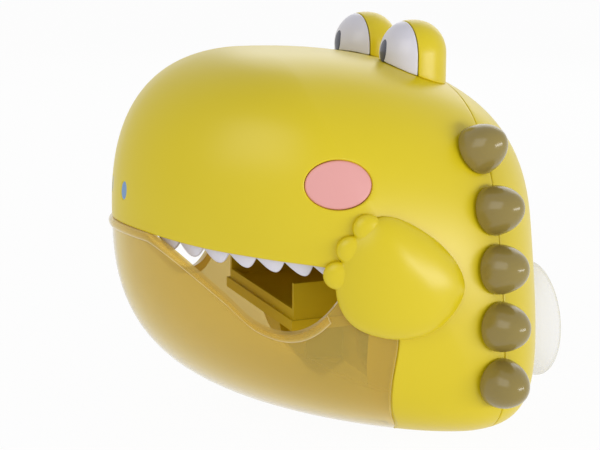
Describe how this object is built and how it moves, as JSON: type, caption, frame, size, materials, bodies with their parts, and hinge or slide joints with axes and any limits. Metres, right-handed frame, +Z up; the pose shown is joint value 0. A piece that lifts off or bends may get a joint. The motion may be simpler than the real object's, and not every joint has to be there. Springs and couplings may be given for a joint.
{
  "type": "bubble machine",
  "caption": "Bath bubble machine shaped as a round animal head: solution tank as lower jaw, turning wand wheel, blower, battery bay and a suction cup at the back.",
  "frame": {"origin": "floor height, in the middle of the object's length and width, the cup and spikes included", "axes": "+Z up as the head stands, -Y towards the snout, +Y towards the wall and the suction cup, +X to the head's own left"},
  "size_m": [0.1736, 0.1738, 0.1483],
  "materials": {
    "yellow_shell": "satin moulded plastic",
    "amber_tank": "clear smoky amber plastic",
    "white_plastic": "smooth white plastic",
    "pupil_dark": "gloss dark plastic",
    "nostril_blue": "matt",
    "cheek_pink": "satin",
    "olive_plastic": "gloss olive brown plastic",
    "clear_cup": "clear soft vinyl",
    "inner_plastic": "moulded plastic",
    "wand_plastic": "moulded plastic",
    "nylon": "natural nylon",
    "steel": "bright steel",
    "motor_can": "plated can",
    "cell_jacket": "plain dark jacket",
    "board_green": "solder resist",
    "black_plastic": "matt",
    "black_rubber": "matt"
  },
  "bodies": {
    "head": {"front_shell": "yellow_shell", "rear_shell": "yellow_shell", "tank": "amber_tank", "paw_left": "yellow_shell", "paw_right": "yellow_shell", "eye_cap_left": "yellow_shell", "eye_cap_right": "yellow_shell", "tooth_row": "white_plastic", "eye_white_left": "white_plastic", "eye_white_right": "white_plastic", "pupil_left": "pupil_dark", "pupil_right": "pupil_dark", "nostril_left": "nostril_blue", "nostril_right": "nostril_blue", "cheek_inlay": "cheek_pink", "spike_strip_left": "olive_plastic", "spike_strip_right": "olive_plastic", "suction_cup": "clear_cup", "bulkhead": "inner_plastic", "bubble_chute": "inner_plastic", "switch_bracket": "inner_plastic", "blower_housing": "inner_plastic", "blower_lid": "inner_plastic", "battery_box": "inner_plastic", "gear_cover": "nylon", "second_gear_pin": "steel", "first_gear_pin": "steel", "gear_screw_1": "steel", "gear_screw_2": "steel", "gear_screw_3": "steel", "case_screw_1": "steel", "case_screw_2": "steel", "case_screw_3": "steel", "case_screw_4": "steel", "contact_plate_top": "steel", "contact_plate_bottom": "steel", "drive_motor": "motor_can", "fan_motor": "motor_can", "battery_1": "cell_jacket", "battery_2": "cell_jacket", "battery_3": "cell_jacket", "control_board": "board_green", "tact_switch": "black_plastic", "button_boot": "black_rubber", "axle_seal": "black_rubber", "battery_lead": "black_rubber", "drive_lead": "black_rubber", "fan_lead": "black_rubber"},
    "wand": {"wand_wheel": "wand_plastic", "wand_axle": "steel", "wheel_gear": "nylon"},
    "second_gear": {"second_gear": "nylon"},
    "first_gear": {"first_gear": "nylon"},
    "motor_pinion": {"motor_pinion": "nylon"},
    "fan": {"fan_impeller": "nylon"},
    "power_button": {"power_button": "cheek_pink"},
    "battery_door": {"battery_door": "yellow_shell", "door_seal": "black_rubber", "door_screw": "steel"}
  },
  "joints": [
    {"name": "wand_spin", "type": "hinge", "parent": "head", "child": "wand", "pos_m": [0, 0.017, 0.041], "axis": [0, 1, 0], "continuous": true},
    {"name": "second_gear_spin", "type": "hinge", "parent": "head", "child": "second_gear", "pos_m": [-0.00688, 0.033, 0.03117], "axis": [0, 1, 0], "continuous": true},
    {"name": "first_gear_spin", "type": "hinge", "parent": "head", "child": "first_gear", "pos_m": [-0.02658, 0.0358, 0.03464], "axis": [0, 1, 0], "continuous": true},
    {"name": "pinion_spin", "type": "hinge", "parent": "head", "child": "motor_pinion", "pos_m": [-0.03805, 0.0372, 0.05103], "axis": [0, 1, 0], "continuous": true},
    {"name": "fan_spin", "type": "hinge", "parent": "head", "child": "fan", "pos_m": [0.037, 0.038, 0.052], "axis": [0, 1, 0], "continuous": true},
    {"name": "button_press", "type": "slide", "parent": "head", "child": "power_button", "axis": [-0.9461, 0.2783, -0.1653], "range_m": [0, 0.0012], "stiffness_N_per_m": 600, "springref_m": -0.001},
    {"name": "door_slide", "type": "slide", "parent": "head", "child": "battery_door", "axis": [0, 1, 0], "range_m": [0, 0.03]}
  ],
  "couplings": [
    {"joint": "second_gear_spin", "follows": "wand_spin", "ratio": -2},
    {"joint": "first_gear_spin", "follows": "wand_spin", "ratio": 8},
    {"joint": "pinion_spin", "follows": "wand_spin", "ratio": -32}
  ]
}
